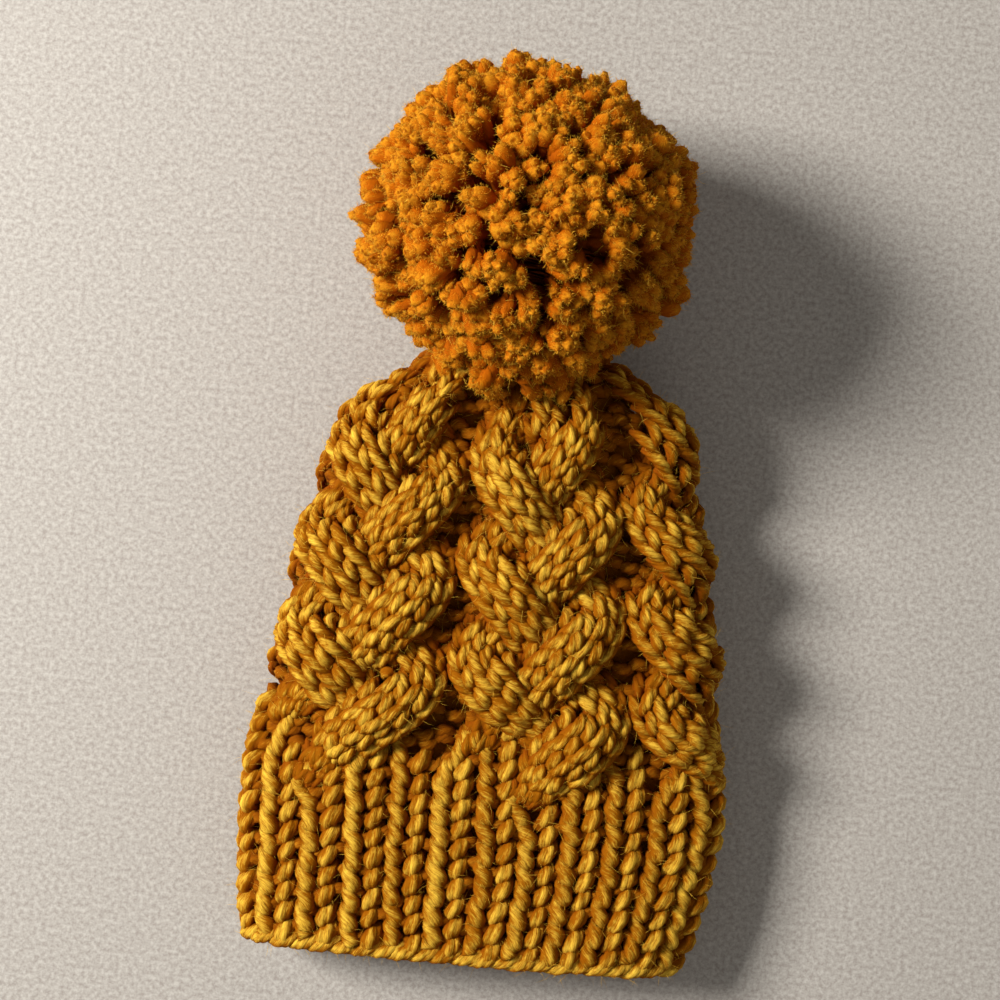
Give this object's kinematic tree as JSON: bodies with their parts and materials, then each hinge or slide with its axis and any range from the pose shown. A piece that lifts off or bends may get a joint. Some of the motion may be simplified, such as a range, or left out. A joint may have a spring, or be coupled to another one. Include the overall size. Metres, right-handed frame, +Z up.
{
  "type": "pom pom beanie",
  "caption": "Bulky knitted cable beanie lying flat, with a ribbed brim, plaited cables, a gathered crown and a tied yarn pom that tips and turns.",
  "frame": {"origin": "middle of the underside that the hat lies on", "axes": "+Y from the brim towards the pom, +Z up out of the surface the hat lies on, +X to the right seen from above with the pom at the top"},
  "size_m": [0.1846, 0.347, 0.1248],
  "materials": {
    "wool": "matte",
    "wool_raised": "matte",
    "wool_deep": "matte",
    "pom_wool": "matte"
  },
  "bodies": {
    "hat": {"cast_on_edge": "wool_raised", "ribbed_band": "wool", "purl_ground": "wool_deep", "plait_1": "wool_raised", "plait_2": "wool_raised", "plait_3": "wool_raised", "plait_4": "wool_raised", "plait_5": "wool_raised", "gathered_crown": "wool", "inside_knot": "wool_deep", "gather_yarn": "wool_deep", "crown_yarn_end": "wool_deep", "cast_on_yarn_end": "wool_deep"},
    "tie_loop": {"tie_eye": "wool_deep"},
    "tie_twist": {"tie_tails": "wool_deep"},
    "pom": {"pom_binding": "wool_deep", "pom_ball": "pom_wool"}
  },
  "joints": [
    {"name": "pom_nod", "type": "hinge", "parent": "hat", "child": "tie_loop", "pos_m": [0, 0.06945, 0.033], "axis": [1, 0, 0], "range_deg": [-8, 12], "stiffness_Nm_per_rad": 0.25},
    {"name": "pom_sway", "type": "hinge", "parent": "tie_loop", "child": "tie_twist", "pos_m": [0, 0.06945, 0.033], "axis": [0, 0, 1], "range_deg": [-10, 10], "stiffness_Nm_per_rad": 0.25},
    {"name": "pom_turn", "type": "hinge", "parent": "tie_twist", "child": "pom", "pos_m": [0, 0.06945, 0.033], "axis": [0, 0.7964, 0.6048], "range_deg": [-45, 45], "stiffness_Nm_per_rad": 0.06}
  ]
}
